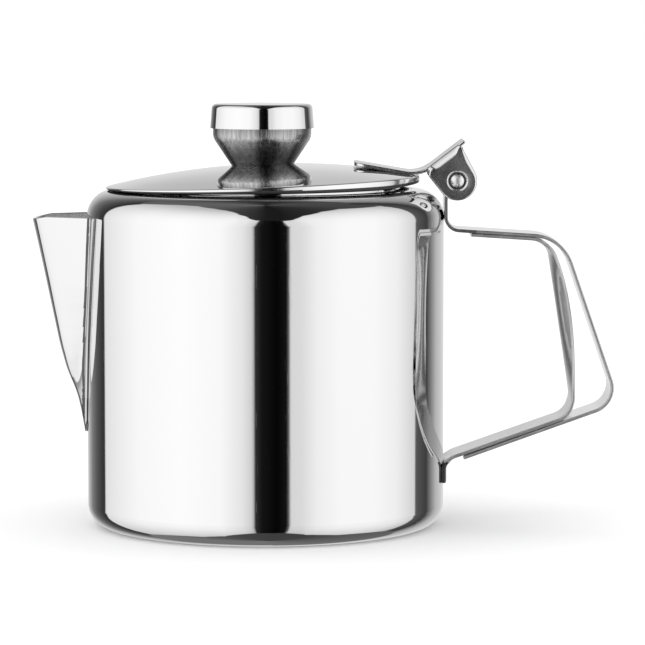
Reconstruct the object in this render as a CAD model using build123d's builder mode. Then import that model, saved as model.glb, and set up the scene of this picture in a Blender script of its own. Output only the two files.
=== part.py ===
from build123d import *
from math import acos, atan2, cos, degrees, hypot, radians, sin, sqrt, tan
import os

# A small hinged-lid teapot for table service, pressed and welded from polished stainless sheet.
# Millimetres and degrees. +Z is up, the floor is Z = 0 and the pot's axis is the Z axis. The handle
# and the hinge are on the +X side and the spout is on the -X side. XZ is the plane of symmetry.

os.makedirs("parts", exist_ok=True)

# ---------------------------------------------------------------- pot body, one drawn shell
body_radius = 45.0
body_height = 85.0
body_wall = 0.7
base_corner_radius = 5.6
shoulder_radius = 6.8
mouth_radius = 36.0
mouth_lip_radius = 1.2
mouth_lip_depth = 2.6

# Strainer: staggered rows of round holes through the wall behind the spout
strainer_hole_radius = 1.4
strainer_rows = 8
strainer_row_pitch = 5.2
strainer_hole_pitch = 5.2
strainer_first_row = 38.0
strainer_edge_margin = 0.6
strainer_hole_reach = 4.0

# ---------------------------------------------------------------- spout, a folded V of sheet with a flange
spout_wall = 0.9
spout_half_angle = 41.0
spout_ridge_radius = 2.5
spout_inner_ridge_radius = 1.6
# Height and outermost X of the V's ridge, from its toe to above the lip
spout_ridge = [(23.0, -45.7), (28.0, -46.7), (33.0, -48.0), (39.2, -50.25), (46.0, -52.05), (81.0, -59.4)]
spout_back_x = -38.0
spout_tip_x = -62.0
spout_tip_height = 77.2
spout_lip_rise_x = -54.6
spout_lip_height = 78.5
# Height and half-width of the flange's outline on the wall
spout_flange = [(23.5, 0.0), (26.0, 3.4), (33.0, 6.0), (46.7, 9.0), (57.0, 11.3), (78.1, 16.0)]
spout_flange_thickness = 0.8
spout_flange_reach = 10.0

# ---------------------------------------------------------------- handle, two bent strips welded together
strip_width = 15.0
strip_thickness = 0.85
post_top = (45.75, 83.4)
arm_root = (45.8, 75.5)
arm_end = (74.8, 73.65)
outer_heel = (89.4, 31.3)
outer_strip_end = (50.0, 17.15)
post_bend_radius = 8.0
arm_root_radius = 3.0
outer_knee_radius = 11.0
outer_heel_radius = 6.5
leg_start_x = 51.5
grip_top_x = 70.8
grip_heel_x = 77.45
inner_knee_radius = 5.0
foot_bottom = 11.2
foot_tab_height = 4.6
foot_bend_radius = 4.0
# The grip's dish: share of the way down the dished stretch, and half the angle of the curl
grip_dish = [(0.0, 3.0), (0.16, 26.0), (0.36, 44.0), (0.66, 38.0), (0.86, 20.0), (1.0, 3.0)]
grip_dish_top_share = 0.08
grip_dish_bottom_share = 0.88

# ---------------------------------------------------------------- hinge
hinge_x = 48.1
hinge_z = 87.45
pin_radius = 1.5
pin_clearance = 0.06
knuckle_thickness = 0.95
pin_head_radius = 1.75
pin_head_height = 0.55
pin_head_edge_radius = 0.35
ear_gap = 0.35
ear_radius = 4.95
ear_fold_radius = 1.5
plate_thickness = 0.9
tongue_end_x = 22.4
tongue_end_z = 92.1
tongue_corner_radius = 2.4
thumb_bend = (38.7, 89.25)
thumb_bend_radius = 8.0
thumb_tip = (49.75, 97.65)
ear_front_corner = (40.9, 88.6)
ear_rear_corner = (49.4, 95.6)
# Shares of the thumb rest's length where the ears and their rounded folds begin
ear_front_share = 0.2
ear_fold_share = 0.28

# ---------------------------------------------------------------- lid
lid_x = -0.6
lid_rim_z = 85.4
lid_tilt = 0.65
lid_radius = 39.5
lid_wall = 0.8
lid_edge_radius = 0.6
crown_radius = 190.0
crown_offset = 5.0
crown_height = 5.98
skirt_radius = 34.7
skirt_wall = 0.8
skirt_depth = 3.0
lid_blank_height = 9.0

# ---------------------------------------------------------------- knob on the lid
knob_x = -0.8
cap_top_z = 106.5
cap_bottom_z = 100.4
cap_top_radius = 12.65
cap_bottom_radius = 13.1
cap_edge_radius = 1.2
cap_top_wall = 1.0
cap_bore_radius = 11.7
bowl_radius = 12.4
bowl_wall = 0.8
bowl_rim_z = 101.4
bowl_corner_z = 98.0
bowl_waist_radius = 7.2
bowl_waist_z = 90.2
bowl_corner_radius = 3.5
bowl_floor_z = 92.6
stud_radius = 2.0
stud_hole_radius = 2.2
stud_head_radius = 4.5
stud_head_height = 1.4
stud_end_z = 86.6
washer_radius = 4.6
washer_thickness = 0.8
nut_radius = 3.9
nut_height = 2.4

# ---------------------------------------------------------------- worked-out values
half_strip = strip_width / 2
ear_inner_y = half_strip + ear_gap
ear_outer_y = ear_inner_y + plate_thickness
bore_radius = pin_radius + pin_clearance
knuckle_radius = bore_radius + knuckle_thickness
body_corners = [(0, 0), (body_radius, 0), (body_radius, body_height)]
tilt = radians(lid_tilt)
lid_frame = Plane(origin=(lid_x, 0, lid_rim_z), x_dir=(cos(tilt), 0, sin(tilt)), z_dir=(-sin(tilt), 0, cos(tilt)))
crown_centre = lid_frame.from_local_coords(Vector(crown_offset, 0, crown_height - crown_radius))
spout_slope = tan(radians(spout_half_angle))


def finish(piece, node):
    """Label one sub-part and write its STEP file."""
    piece.part.label = node
    export_step(piece.part, f"parts/{node}.step")


def along(start, end, share):
    """The point a share of the way from start to end."""
    return tuple(a + (b - a) * share for a, b in zip(start, end))


def height_on_line(start, end, x, rise):
    """Z at x on the line from start to end, moved up by rise measured across the line."""
    slope = (end[1] - start[1]) / (end[0] - start[0])
    return start[1] + slope * (x - start[0]) + rise * hypot(1, slope)


def tangent_angle(point, side):
    """Angle on the ear's round end, in degrees, where a line from the point touches it."""
    away = atan2(point[1] - hinge_z, point[0] - hinge_x)
    reach = hypot(point[0] - hinge_x, point[1] - hinge_z)
    return degrees(away + side * acos(ear_radius / reach))


def on_ear(angle):
    """Point on the ear's round end."""
    return (hinge_x + ear_radius * cos(radians(angle)), hinge_z + ear_radius * sin(radians(angle)))


def ridge_x_at(height):
    """X of the spout's ridge at a height, straight between the stated points."""
    for (low_z, low_x), (high_z, high_x) in zip(spout_ridge, spout_ridge[1:]):
        if height <= high_z:
            break
    return low_x + (high_x - low_x) * (height - low_z) / (high_z - low_z)


def outer_corner_x(ridge_x):
    """X of the V's outer corner before its ridge is rounded."""
    return ridge_x - spout_ridge_radius * (1 / sin(radians(spout_half_angle)) - 1)


def channel_corner_x(ridge_x):
    """X of the V's inner corner before it is rounded."""
    return outer_corner_x(ridge_x) + spout_wall / sin(radians(spout_half_angle))


def strainer_spots(row):
    """(Y, Z) of the strainer holes in one row, as many as the spout's channel covers."""
    height = strainer_first_row + row * strainer_row_pitch
    channel_half = (-body_radius - channel_corner_x(ridge_x_at(height))) * spout_slope
    limit = channel_half - strainer_hole_radius - strainer_edge_margin
    stagger = 0.5 * (row % 2)
    offsets = [(step + stagger) * strainer_hole_pitch for step in range(-strainer_rows, strainer_rows)]
    return [(offset, height) for offset in offsets if abs(offset) <= limit]


# ---------------------------------------------------------------- helper volumes, not written out
# Everything inside the pot's outer surface
with BuildPart() as body_envelope:
    with BuildSketch(Plane.XZ):
        with BuildLine():
            skin = FilletPolyline(
                *body_corners, (mouth_radius, body_height), radius=[base_corner_radius, shoulder_radius]
            )
            Polyline(skin @ 1, (0, body_height), (0, 0))
        make_face()
    revolve(axis=Axis.Z)

# Everything under the lid's crown, and the hollow under its sheet
with BuildPart() as crown_ball:
    with Locations(crown_centre):
        Sphere(crown_radius)
with BuildPart() as lid_hollow:
    with BuildSketch(lid_frame.offset(-1)):
        Circle(lid_radius - lid_wall)
    extrude(amount=lid_blank_height + 1)
    with Locations(crown_centre):
        Sphere(crown_radius - lid_wall, mode=Mode.INTERSECT)

# The liquid's way up inside the spout
with BuildPart() as spout_channel:
    for ridge_z, ridge_x in spout_ridge:
        inner_x = channel_corner_x(ridge_x)
        inner_y = (spout_back_x - inner_x) * spout_slope
        with BuildSketch(Plane.XY.offset(ridge_z)):
            with BuildLine():
                inner_vee = FilletPolyline(
                    (spout_back_x, -inner_y), (inner_x, 0), (spout_back_x, inner_y), radius=spout_inner_ridge_radius
                )
                Line(inner_vee @ 1, inner_vee @ 0)
            make_face()
    loft(ruled=True)

# The spout's flange: an outline wrapped on the pot's wall
with BuildPart() as spout_band:
    with BuildSketch(Plane.YZ.offset(-body_radius - 2 * spout_flange_thickness)):
        with BuildLine():
            near_edge = [(half, height) for height, half in spout_flange]
            far_edge = [(-half, height) for height, half in reversed(spout_flange[1:])]
            Polyline(*near_edge, *far_edge, close=True)
        make_face()
    extrude(amount=spout_flange_reach)
    with BuildSketch():
        Circle(body_radius + spout_flange_thickness)
    extrude(amount=body_height, mode=Mode.INTERSECT)

# ---------------------------------------------------------------- pot body
with BuildPart() as body_shell:
    with BuildSketch(Plane.XZ):
        with BuildLine():
            FilletPolyline(
                *body_corners,
                (mouth_radius, body_height),
                (mouth_radius, body_height - mouth_lip_depth),
                radius=[base_corner_radius, shoulder_radius, mouth_lip_radius],
            )
            offset(amount=body_wall, side=Side.RIGHT)
        make_face()
    revolve(axis=Axis.Z)
    for row in range(strainer_rows):
        with BuildSketch(Plane.YZ.offset(-body_radius)):
            with Locations(*strainer_spots(row)):
                Circle(strainer_hole_radius)
        extrude(amount=strainer_hole_reach, both=True, mode=Mode.SUBTRACT)
finish(body_shell, "body_shell")

# ---------------------------------------------------------------- spout
with BuildPart() as spout:
    for ridge_z, ridge_x in spout_ridge:
        outer_x = outer_corner_x(ridge_x)
        outer_y = (spout_back_x - outer_x) * spout_slope
        with BuildSketch(Plane.XY.offset(ridge_z)):
            with BuildLine():
                outer_vee = FilletPolyline(
                    (spout_back_x, -outer_y), (outer_x, 0), (spout_back_x, outer_y), radius=spout_ridge_radius
                )
                Line(outer_vee @ 1, outer_vee @ 0)
            make_face()
    loft(ruled=True)
    add(spout_band.part)
    add(spout_channel.part, mode=Mode.SUBTRACT)
    add(body_envelope.part, mode=Mode.SUBTRACT)
    # The lip dips towards the tip
    with BuildSketch(Plane.XZ):
        Polygon(
            (spout_tip_x, spout_tip_height),
            (spout_lip_rise_x, spout_lip_height),
            (spout_back_x, spout_lip_height),
            (spout_back_x, body_height),
            (spout_tip_x, body_height),
            align=None,
        )
    extrude(amount=body_radius, both=True, mode=Mode.SUBTRACT)
finish(spout, "spout")

# ---------------------------------------------------------------- handle, outer strip with the hinge knuckle
with BuildPart() as handle_outer_strip:
    with BuildSketch(Plane.XZ):
        with BuildLine():
            FilletPolyline(
                (hinge_x - bore_radius, hinge_z),
                post_top,
                arm_root,
                arm_end,
                outer_heel,
                outer_strip_end,
                radius=[post_bend_radius, arm_root_radius, outer_knee_radius, outer_heel_radius],
            )
            offset(amount=strip_thickness, side=Side.RIGHT)
        make_face()
        with Locations((hinge_x, hinge_z)):
            Circle(knuckle_radius)
            Circle(bore_radius, mode=Mode.SUBTRACT)
    extrude(amount=half_strip, both=True)
    add(body_envelope.part, mode=Mode.SUBTRACT)
finish(handle_outer_strip, "handle_outer_strip")

# ---------------------------------------------------------------- handle, inner strip with the dished grip
leg_drop = -2 * strip_thickness
arm_lift = 2 * strip_thickness
leg_start = (leg_start_x, height_on_line(arm_root, arm_end, leg_start_x, leg_drop))
grip_top = (grip_top_x, height_on_line(arm_root, arm_end, grip_top_x, leg_drop))
grip_heel = (grip_heel_x, height_on_line(outer_strip_end, outer_heel, grip_heel_x, arm_lift))
foot_top = (body_radius, height_on_line(outer_strip_end, outer_heel, body_radius, arm_lift))
dish_top = along(grip_top, grip_heel, grip_dish_top_share)
dish_bottom = along(grip_top, grip_heel, grip_dish_bottom_share)
dish_length = hypot(dish_bottom[0] - dish_top[0], dish_bottom[1] - dish_top[1])
dish_plane = Plane(
    origin=(dish_top[0], 0, dish_top[1]),
    x_dir=(0, 1, 0),
    z_dir=(dish_bottom[0] - dish_top[0], 0, dish_bottom[1] - dish_top[1]),
)

with BuildPart() as handle_inner_strip:
    with BuildSketch(Plane.XZ):
        with BuildLine():
            FilletPolyline(
                leg_start,
                grip_top,
                grip_heel,
                foot_top,
                (body_radius, foot_bottom + foot_tab_height / 2),
                radius=[inner_knee_radius, inner_knee_radius, foot_bend_radius],
            )
            offset(amount=strip_thickness, side=Side.LEFT)
        make_face()
    extrude(amount=half_strip, both=True)
    # The dished stretch replaces the flat one
    with BuildSketch(dish_plane):
        Rectangle(2 * strip_width, 4 * strip_thickness)
    extrude(amount=dish_length, mode=Mode.SUBTRACT)
    for share, half_angle in grip_dish:
        curl_radius = half_strip / radians(half_angle)
        with BuildSketch(dish_plane.offset(share * dish_length)):
            with BuildLine():
                curl_centre = (0, curl_radius)
                finger_side = CenterArc(curl_centre, curl_radius, 270 - half_angle, 2 * half_angle)
                hollow_side = CenterArc(curl_centre, curl_radius - strip_thickness, 270 - half_angle, 2 * half_angle)
                Line(finger_side @ 0, hollow_side @ 0)
                Line(finger_side @ 1, hollow_side @ 1)
            make_face()
    loft()
    # The foot tab follows the pot's wall
    with BuildSketch(Plane.XY.offset(foot_bottom)):
        Circle(body_radius + strip_thickness)
        Circle(body_radius, mode=Mode.SUBTRACT)
        with Locations((body_radius, 0)):
            Rectangle(strip_width, strip_width, mode=Mode.INTERSECT)
    extrude(amount=foot_tab_height)
    add(body_envelope.part, mode=Mode.SUBTRACT)
finish(handle_inner_strip, "handle_inner_strip")

# ---------------------------------------------------------------- hinge plate: tongue, thumb rest and two ears
ear_plate_start = along(thumb_bend, thumb_tip, ear_front_share)
rear_touch = tangent_angle(ear_rear_corner, -1)
front_touch = tangent_angle(ear_front_corner, 1)
fold_start = along(thumb_bend, thumb_tip, ear_fold_share)
fold_length = hypot(thumb_tip[0] - fold_start[0], thumb_tip[1] - fold_start[1])
fold_plane = Plane(
    origin=(fold_start[0], 0, fold_start[1]),
    x_dir=(0, 1, 0),
    z_dir=(thumb_tip[0] - fold_start[0], 0, thumb_tip[1] - fold_start[1]),
)
with BuildPart() as hinge_plate:
    with BuildSketch(Plane.XZ):
        with BuildLine():
            FilletPolyline((tongue_end_x, tongue_end_z), thumb_bend, thumb_tip, radius=thumb_bend_radius)
            offset(amount=plate_thickness, side=Side.RIGHT)
        make_face()
    extrude(amount=ear_outer_y, both=True)
    tongue_corners = edges().filter_by(Axis.Z, tolerance=12).group_by(Axis.X)[0]
    fillet(tongue_corners, radius=tongue_corner_radius)
    for side_y in (-ear_inner_y, ear_outer_y):
        with BuildSketch(Plane.XZ.offset(-side_y)):
            Polygon(
                ear_front_corner,
                ear_plate_start,
                thumb_tip,
                ear_rear_corner,
                on_ear(rear_touch),
                (hinge_x, hinge_z),
                on_ear(front_touch),
                align=None,
            )
            with Locations((hinge_x, hinge_z)):
                Circle(ear_radius)
                Circle(pin_radius, mode=Mode.SUBTRACT)
        extrude(amount=plate_thickness)
    # The folds between the thumb rest and the ears are rounded outside
    with BuildSketch(fold_plane):
        with Locations((0, -ear_fold_radius)):
            Rectangle(2 * ear_outer_y, 2 * ear_fold_radius)
        with Locations((0, -2 * ear_fold_radius)):
            RectangleRounded(2 * ear_outer_y, 4 * ear_fold_radius, ear_fold_radius, mode=Mode.SUBTRACT)
    extrude(amount=fold_length, mode=Mode.SUBTRACT)
finish(hinge_plate, "hinge_plate")

# ---------------------------------------------------------------- hinge pin, peened at both ends
with BuildPart() as hinge_pin:
    with BuildSketch(Plane.XZ):
        with Locations((hinge_x, hinge_z)):
            Circle(pin_radius)
    extrude(amount=ear_outer_y, both=True)
    for outward in (1, -1):
        with BuildSketch(Plane.XZ.offset(outward * ear_outer_y)):
            with Locations((hinge_x, hinge_z)):
                Circle(pin_head_radius)
        extrude(amount=outward * pin_head_height)
    head_rims = edges().group_by(Axis.Y)
    fillet(head_rims[0] + head_rims[-1], radius=pin_head_edge_radius)
finish(hinge_pin, "hinge_pin")

# ---------------------------------------------------------------- lid cover
with BuildPart() as lid_cover:
    with BuildSketch(lid_frame):
        Circle(lid_radius)
    extrude(amount=lid_blank_height)
    add(crown_ball.part, mode=Mode.INTERSECT)
    rim_edges = edges().filter_by(lambda edge: edge.length > lid_radius)
    fillet(rim_edges.sort_by(Axis.Z)[-1], radius=lid_edge_radius)
    add(lid_hollow.part, mode=Mode.SUBTRACT)
    with BuildSketch(Plane.XY.offset(lid_rim_z)):
        with Locations((knob_x, 0)):
            Circle(stud_hole_radius)
    extrude(amount=lid_blank_height, mode=Mode.SUBTRACT)
    # A shallow seat pressed for the tongue
    add(hinge_plate.part, mode=Mode.SUBTRACT)
finish(lid_cover, "lid_cover")

# ---------------------------------------------------------------- locating skirt welded inside the cover
with BuildPart() as lid_skirt:
    with BuildSketch(lid_frame.offset(-skirt_depth)):
        Circle(skirt_radius)
        Circle(skirt_radius - skirt_wall, mode=Mode.SUBTRACT)
    extrude(amount=lid_blank_height)
    with Locations(crown_centre):
        Sphere(crown_radius - lid_wall, mode=Mode.INTERSECT)
finish(lid_skirt, "lid_skirt")

# ---------------------------------------------------------------- knob
knob_axis = Axis((knob_x, 0, 0), (0, 0, 1))
knob_frame = Plane(origin=(knob_x, 0, 0), x_dir=(1, 0, 0), z_dir=(0, -1, 0))

with BuildPart() as knob_cap:
    with BuildSketch(knob_frame):
        with BuildLine():
            crown_line = FilletPolyline(
                (0, cap_top_z),
                (cap_top_radius, cap_top_z),
                (cap_bottom_radius, cap_bottom_z),
                radius=cap_edge_radius,
            )
            Polyline(
                crown_line @ 1,
                (bowl_radius, cap_bottom_z),
                (bowl_radius, bowl_rim_z),
                (cap_bore_radius, bowl_rim_z),
                (cap_bore_radius, cap_top_z - cap_top_wall),
                (0, cap_top_z - cap_top_wall),
                crown_line @ 0,
            )
        make_face()
    revolve(axis=knob_axis)
finish(knob_cap, "knob_cap")

with BuildPart() as knob_bowl:
    with BuildSketch(knob_frame):
        with BuildLine():
            bowl_line = FilletPolyline(
                (bowl_waist_radius, bowl_waist_z),
                (bowl_radius, bowl_corner_z),
                (bowl_radius, bowl_rim_z),
                radius=bowl_corner_radius,
            )
            Polyline(bowl_line @ 1, (0, bowl_rim_z), (0, bowl_waist_z), bowl_line @ 0)
        make_face()
    revolve(axis=knob_axis)
    with BuildSketch(knob_frame):
        with BuildLine():
            hollow_line = FilletPolyline(
                (bowl_waist_radius, bowl_floor_z),
                (bowl_radius - bowl_wall, bowl_corner_z + bowl_wall),
                (bowl_radius - bowl_wall, bowl_rim_z),
                radius=bowl_corner_radius - bowl_wall,
            )
            Polyline(hollow_line @ 1, (0, bowl_rim_z), (0, bowl_floor_z), hollow_line @ 0)
        make_face()
    revolve(axis=knob_axis, mode=Mode.SUBTRACT)
    with BuildSketch(Plane.XY.offset(bowl_waist_z)):
        with Locations((knob_x, 0)):
            Circle(stud_radius)
    extrude(amount=bowl_floor_z - bowl_waist_z, mode=Mode.SUBTRACT)
    add(crown_ball.part, mode=Mode.SUBTRACT)
finish(knob_bowl, "knob_bowl")

with BuildPart() as knob_stud:
    with BuildSketch(Plane.XY.offset(stud_end_z)):
        with Locations((knob_x, 0)):
            Circle(stud_radius)
    extrude(amount=bowl_floor_z - stud_end_z)
    with BuildSketch(Plane.XY.offset(bowl_floor_z)):
        with Locations((knob_x, 0)):
            Circle(stud_head_radius)
    extrude(amount=stud_head_height)
    fillet(edges().group_by(Axis.Z)[-1], radius=stud_head_height / 3)
finish(knob_stud, "knob_stud")

washer_top_z = crown_centre.Z + sqrt((crown_radius - lid_wall) ** 2 - (knob_x - washer_radius - crown_centre.X) ** 2)
with BuildPart() as knob_washer:
    with BuildSketch(Plane.XY.offset(washer_top_z - washer_thickness)):
        with Locations((knob_x, 0)):
            Circle(washer_radius)
            Circle(stud_radius, mode=Mode.SUBTRACT)
    extrude(amount=washer_thickness)
finish(knob_washer, "knob_washer")

with BuildPart() as knob_nut:
    with BuildSketch(Plane.XY.offset(washer_top_z - washer_thickness - nut_height)):
        with Locations((knob_x, 0)):
            RegularPolygon(nut_radius, 6)
            Circle(stud_radius, mode=Mode.SUBTRACT)
    extrude(amount=nut_height)
finish(knob_nut, "knob_nut")
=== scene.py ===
from math import atan2, cos, degrees, hypot, pi, radians, sin, sqrt

import bmesh
import bpy
import numpy as np
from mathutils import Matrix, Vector


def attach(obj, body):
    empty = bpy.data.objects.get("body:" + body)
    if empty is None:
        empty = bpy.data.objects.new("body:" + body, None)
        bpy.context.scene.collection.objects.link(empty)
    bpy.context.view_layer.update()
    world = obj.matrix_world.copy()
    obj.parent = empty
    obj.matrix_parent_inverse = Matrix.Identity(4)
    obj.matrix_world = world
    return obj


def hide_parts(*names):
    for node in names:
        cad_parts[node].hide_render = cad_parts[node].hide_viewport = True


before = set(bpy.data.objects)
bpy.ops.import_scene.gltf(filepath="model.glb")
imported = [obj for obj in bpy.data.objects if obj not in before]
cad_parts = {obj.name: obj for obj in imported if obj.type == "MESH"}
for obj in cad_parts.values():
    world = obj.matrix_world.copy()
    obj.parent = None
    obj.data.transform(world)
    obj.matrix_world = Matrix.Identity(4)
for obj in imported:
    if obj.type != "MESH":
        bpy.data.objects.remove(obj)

# A polished stainless teapot in a plain white studio, in the CAD frame. The meshes are worked out in
# millimetres and made in metres.
bpy.context.view_layer.update()
MM = 0.001

# ---------------------------------------------------------------- camera
CAMERA_PLACE = (0.0144, -0.9, 0.130)
CAMERA_TARGET = (0.0144, 0.0, 0.0512)
CAMERA_LENS = 199.3
CAMERA_SENSOR = 36.0
CAMERA_CLIP = (0.05, 50.0)

camera_data = bpy.data.cameras.new("camera")
camera_data.lens = CAMERA_LENS
camera_data.sensor_width = CAMERA_SENSOR
camera_data.clip_start, camera_data.clip_end = CAMERA_CLIP
camera = bpy.data.objects.new("camera", camera_data)
camera.location = CAMERA_PLACE
camera.rotation_euler = (Vector(CAMERA_TARGET) - Vector(CAMERA_PLACE)).to_track_quat("-Z", "Y").to_euler()
bpy.context.scene.collection.objects.link(camera)
bpy.context.scene.camera = camera
bpy.context.scene.view_settings.view_transform = "Standard"
bpy.context.scene.view_settings.look = "None"


# ---------------------------------------------------------------- node helpers
def linear(grey):
    """Linear light for a display grey from 0 to 255."""
    share = grey / 255
    return share / 12.92 if share <= 0.04045 else ((share + 0.055) / 1.055) ** 2.4


class Graph:
    """Short calls for building one node tree."""

    def __init__(self, tree):
        self.tree = tree
        tree.nodes.clear()

    def add(self, kind, **settings):
        node = self.tree.nodes.new(kind)
        for key, value in settings.items():
            setattr(node, key, value)
        return node

    def feed(self, socket, value):
        if isinstance(value, bpy.types.NodeSocket):
            self.tree.links.new(value, socket)
        else:
            socket.default_value = value

    def math(self, operation, *values, clamp=False):
        node = self.add("ShaderNodeMath", operation=operation, use_clamp=clamp)
        for socket, value in zip(node.inputs, values):
            self.feed(socket, value)
        return node.outputs[0]

    def ramp(self, value, stops):
        """A colour ramp of (position, grey level) stops."""
        node = self.add("ShaderNodeValToRGB")
        ramp = node.color_ramp
        ramp.interpolation = "LINEAR"
        while len(ramp.elements) < len(stops):
            ramp.elements.new(1.0)
        for element, (position, level) in zip(ramp.elements, stops):
            element.position = position
            element.color = (level, level, level, 1.0)
        self.feed(node.inputs[0], value)
        return node.outputs[0]

    def span(self, value, low, high, out_low=0.0, out_high=1.0, mode="LINEAR"):
        """The value carried from low..high to out_low..out_high, and held there beyond."""
        node = self.add("ShaderNodeMapRange", interpolation_type=mode)
        keys = ("Value", "From Min", "From Max", "To Min", "To Max")
        for key, item in zip(keys, (value, low, high, out_low, out_high)):
            self.feed(node.inputs[key], item)
        return node.outputs[0]

    def mix(self, share, a, b):
        """a where share is 0 and b where it is 1, on numbers."""
        node = self.add("ShaderNodeMix", data_type="FLOAT")
        self.feed(node.inputs[0], share)
        self.feed(node.inputs[2], a)
        self.feed(node.inputs[3], b)
        return node.outputs[0]

    def noise(self, vector, scale, detail, roughness=0.5):
        node = self.add("ShaderNodeTexNoise")
        self.feed(node.inputs["Vector"], vector)
        self.feed(node.inputs["Scale"], scale)
        self.feed(node.inputs["Detail"], detail)
        self.feed(node.inputs["Roughness"], roughness)
        return node.outputs[0]

    def stretch(self, vector, scale, turn=(0.0, 0.0, 0.0)):
        node = self.add("ShaderNodeMapping")
        self.feed(node.inputs["Vector"], vector)
        self.feed(node.inputs["Rotation"], turn)
        self.feed(node.inputs["Scale"], scale)
        return node.outputs[0]


# ---------------------------------------------------------------- studio light
# The studio as the steel sees it: a tall soft panel on each side, a narrow dark gap between them in
# front, a backdrop that is white in the middle and falls off to the sides, a dim ceiling and table.
# Directions: azimuth in degrees from the front (-Y), positive to the +X side, and elevation.

# Grey level, 0 to 255, at each azimuth along the horizon
HORIZON = [
    (-180, 220), (-163, 185), (-150, 120), (-140, 85), (-130, 55), (-126.5, 55), (-125, 225), (-112, 235),
    (-88, 250), (-55, 255), (-28, 250), (-14, 230), (-7.3, 205), (-6, 50), (-2, 20), (8, 5),
    (15.2, 20), (16.9, 215), (24, 220), (34, 240), (50, 250), (74, 250), (94, 240), (112.5, 210),
    (114, 85), (128, 60), (133, 110), (145, 180), (166, 210), (180, 220),
]
# Share of that level left at each elevation
PANEL_FALL = [
    (-90, 0.3), (-62, 0.56), (-52, 0.68), (-42, 0.76), (-30, 0.86), (-15, 0.95), (0, 1.0),
    (20, 0.96), (35, 0.86), (48, 0.7), (60, 0.52), (90, 0.4),
]
# The same towards the back wall, where the light falls off sooner
BACK_FALL = [
    (-90, 0.3), (-30, 0.9), (-2, 1.0), (5, 0.97), (10, 0.92), (14, 0.83), (20, 0.74),
    (25, 0.7), (40, 0.6), (90, 0.4),
]
# Elevation at which the panels give way to the ceiling and to the table, at each azimuth
PANEL_TOP = [
    (-180, 60), (-128, 42), (-121, 50), (-112, 60), (-95, 66), (-60, 65), (-40, 61), (-30, 56),
    (-21, 48), (-13, 37), (-8, 25), (-5, 21), (14, 19), (18, 21), (28, 38), (50, 52), (75, 57),
    (112, 46), (118, 60), (180, 60),
]
PANEL_BOTTOM = [
    (-180, -45), (-130, -48), (-70, -63), (-40, -60), (-9, -43), (-7, -42), (16, -42),
    (18, -43), (36, -53), (72, -57), (115, -44), (180, -40),
]
# Grey level of the ceiling and of the table at each azimuth
CEILING = [
    (-180, 38), (-165, 60), (-140, 92), (-110, 96), (-60, 84), (-22, 60), (-10, 50), (2, 28), (12, 26),
    (24, 36), (45, 44), (90, 66), (130, 72), (150, 70), (168, 52), (180, 38),
]
GROUND = [
    (-180, 112), (-110, 112), (-55, 84), (-20, 68), (5, 62), (40, 64), (100, 88), (150, 98), (180, 112),
]
# The panels lean together towards their tops, which narrows the gap by a share of its width. Degrees:
# the gap's middle, the elevations over which it narrows, and how far aside the lean is felt.
GAP_MIDDLE = 4.7
GAP_NARROWING = 0.45
GAP_RISE = (2, 21)
GAP_REACH = (14, 40)
BACK_WALL = (120, 150)
PANEL_SOFTNESS = 1.5
STEEL_SHINE = 0.88
DIFFUSE_LIGHT = 1.25


def elevation_share(angle):
    """Where an elevation lies between straight down (0) and straight up (1)."""
    return (angle + 90) / 180


def by_elevation(stops):
    """Ramp stops from rows of (elevation, share)."""
    return [(elevation_share(angle), share) for angle, share in stops]


def by_azimuth(stops, level_of):
    """Ramp stops from rows of (azimuth, level), each level put through level_of."""
    return [((angle + 180) / 360, level_of(level)) for angle, level in stops]


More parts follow.
